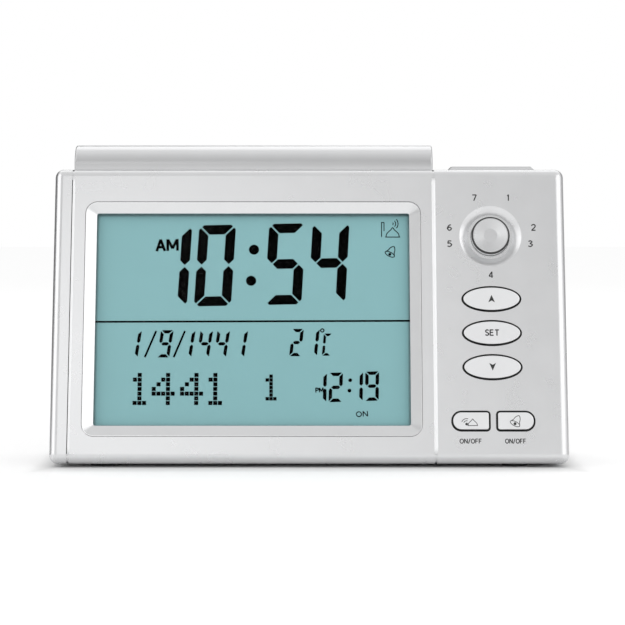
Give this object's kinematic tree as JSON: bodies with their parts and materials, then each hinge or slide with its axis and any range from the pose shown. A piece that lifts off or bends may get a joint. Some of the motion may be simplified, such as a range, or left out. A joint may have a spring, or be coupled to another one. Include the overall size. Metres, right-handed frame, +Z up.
{
  "type": "azan clock",
  "caption": "Silver desktop prayer clock: leaning face with a wide recessed LCD, selector knob, press keys and a long snooze bar.",
  "frame": {"origin": "on the table, under the middle of the case's width and depth", "axes": "+Z up, +X to the viewer's right, the face looks along -Y and leans back"},
  "size_m": [0.1964, 0.06, 0.1223],
  "materials": {
    "case_silver": "satin silver paint on moulded plastic",
    "bezel_silver": "bright satin silver paint",
    "key_silver": "satin silver paint with printed symbols",
    "clear_window": "clear, polished",
    "display_glass": "thin glass with a teal cast",
    "teal_film": "teal film",
    "milky_guide": "milky clear",
    "black_plastic": "moulded black",
    "grey_plastic": "moulded grey",
    "lamp_white": "small white lamps",
    "contact_rubber": "layered contact rubber",
    "board_green": "green solder mask",
    "part_black": "moulded parts on the boards",
    "steel": "plated steel",
    "foot_rubber": "soft matt rubber",
    "cone_paper": "black pressed paper",
    "magnet_grey": "dark sintered magnet",
    "cell_jacket": "printed jacket, plain",
    "wire_red": "insulated wire",
    "cable_grey": "flat cable"
  },
  "bodies": {
    "root": {"front_housing": "case_silver", "rear_housing": "case_silver", "rubber_feet": "foot_rubber", "housing_screws": "steel", "display_bezel": "bezel_silver", "display_window": "clear_window", "lcd_front_film": "display_glass", "lcd_glass": "display_glass", "lcd_rear_film": "teal_film", "lcd_holder": "black_plastic", "backlight_guide": "milky_guide", "backlight_leds": "lamp_white", "zebra_strips": "contact_rubber", "main_board": "board_green", "board_screws": "steel", "main_chips": "part_black", "board_components": "part_black", "temperature_sensor": "part_black", "key_board": "board_green", "key_board_screws": "steel", "key_switch_bodies": "grey_plastic", "selector_switch": "black_plastic", "top_board": "board_green", "top_board_screws": "steel", "top_switch_bodies": "grey_plastic", "batteries": "cell_jacket", "battery_contacts": "steel", "battery_springs": "steel", "speaker_frame": "steel", "speaker_magnet": "magnet_grey", "speaker_cone": "cone_paper", "speaker_clamps": "steel", "speaker_screws": "steel", "flat_cable": "cable_grey", "speaker_wires": "wire_red", "battery_wires": "wire_red"},
    "snooze_bar": {"snooze_bar": "case_silver", "snooze_plunger": "black_plastic"},
    "light_key": {"light_key": "key_silver", "light_plunger": "black_plastic"},
    "up_key": {"up_key": "key_silver", "up_plunger": "black_plastic"},
    "set_key": {"set_key": "key_silver", "set_plunger": "black_plastic"},
    "down_key": {"down_key": "key_silver", "down_plunger": "black_plastic"},
    "call_key": {"call_key": "key_silver", "call_plunger": "black_plastic"},
    "alarm_key": {"alarm_key": "key_silver", "alarm_plunger": "black_plastic"},
    "selector": {"selector_knob": "key_silver", "selector_shaft": "grey_plastic"},
    "battery_door": {"battery_door": "case_silver"}
  },
  "joints": [
    {"name": "snooze_press", "type": "slide", "parent": "root", "child": "snooze_bar", "axis": [0, 0, -1], "range_m": [0, 0.0007], "stiffness_N_per_m": 800, "springref_m": -0.0015},
    {"name": "light_press", "type": "slide", "parent": "root", "child": "light_key", "axis": [0, 0, -1], "range_m": [0, 0.0007], "stiffness_N_per_m": 300, "springref_m": -0.001},
    {"name": "up_press", "type": "slide", "parent": "root", "child": "up_key", "axis": [0, 0.9703, -0.2419], "range_m": [0, 0.0006], "stiffness_N_per_m": 300, "springref_m": -0.001},
    {"name": "set_press", "type": "slide", "parent": "root", "child": "set_key", "axis": [0, 0.9703, -0.2419], "range_m": [0, 0.0006], "stiffness_N_per_m": 300, "springref_m": -0.001},
    {"name": "down_press", "type": "slide", "parent": "root", "child": "down_key", "axis": [0, 0.9703, -0.2419], "range_m": [0, 0.0006], "stiffness_N_per_m": 300, "springref_m": -0.001},
    {"name": "call_press", "type": "slide", "parent": "root", "child": "call_key", "axis": [0, 0.9703, -0.2419], "range_m": [0, 0.0006], "stiffness_N_per_m": 300, "springref_m": -0.001},
    {"name": "alarm_press", "type": "slide", "parent": "root", "child": "alarm_key", "axis": [0, 0.9703, -0.2419], "range_m": [0, 0.0006], "stiffness_N_per_m": 300, "springref_m": -0.001},
    {"name": "selector_turn", "type": "hinge", "parent": "root", "child": "selector", "pos_m": [0.0695, -0.00951, 0.08708], "axis": [0, -0.9703, 0.2419], "range_deg": [0, 308.6]},
    {"name": "door_pull", "type": "slide", "parent": "root", "child": "battery_door", "axis": [0, 1, 0], "range_m": [0, 0.02]}
  ]
}
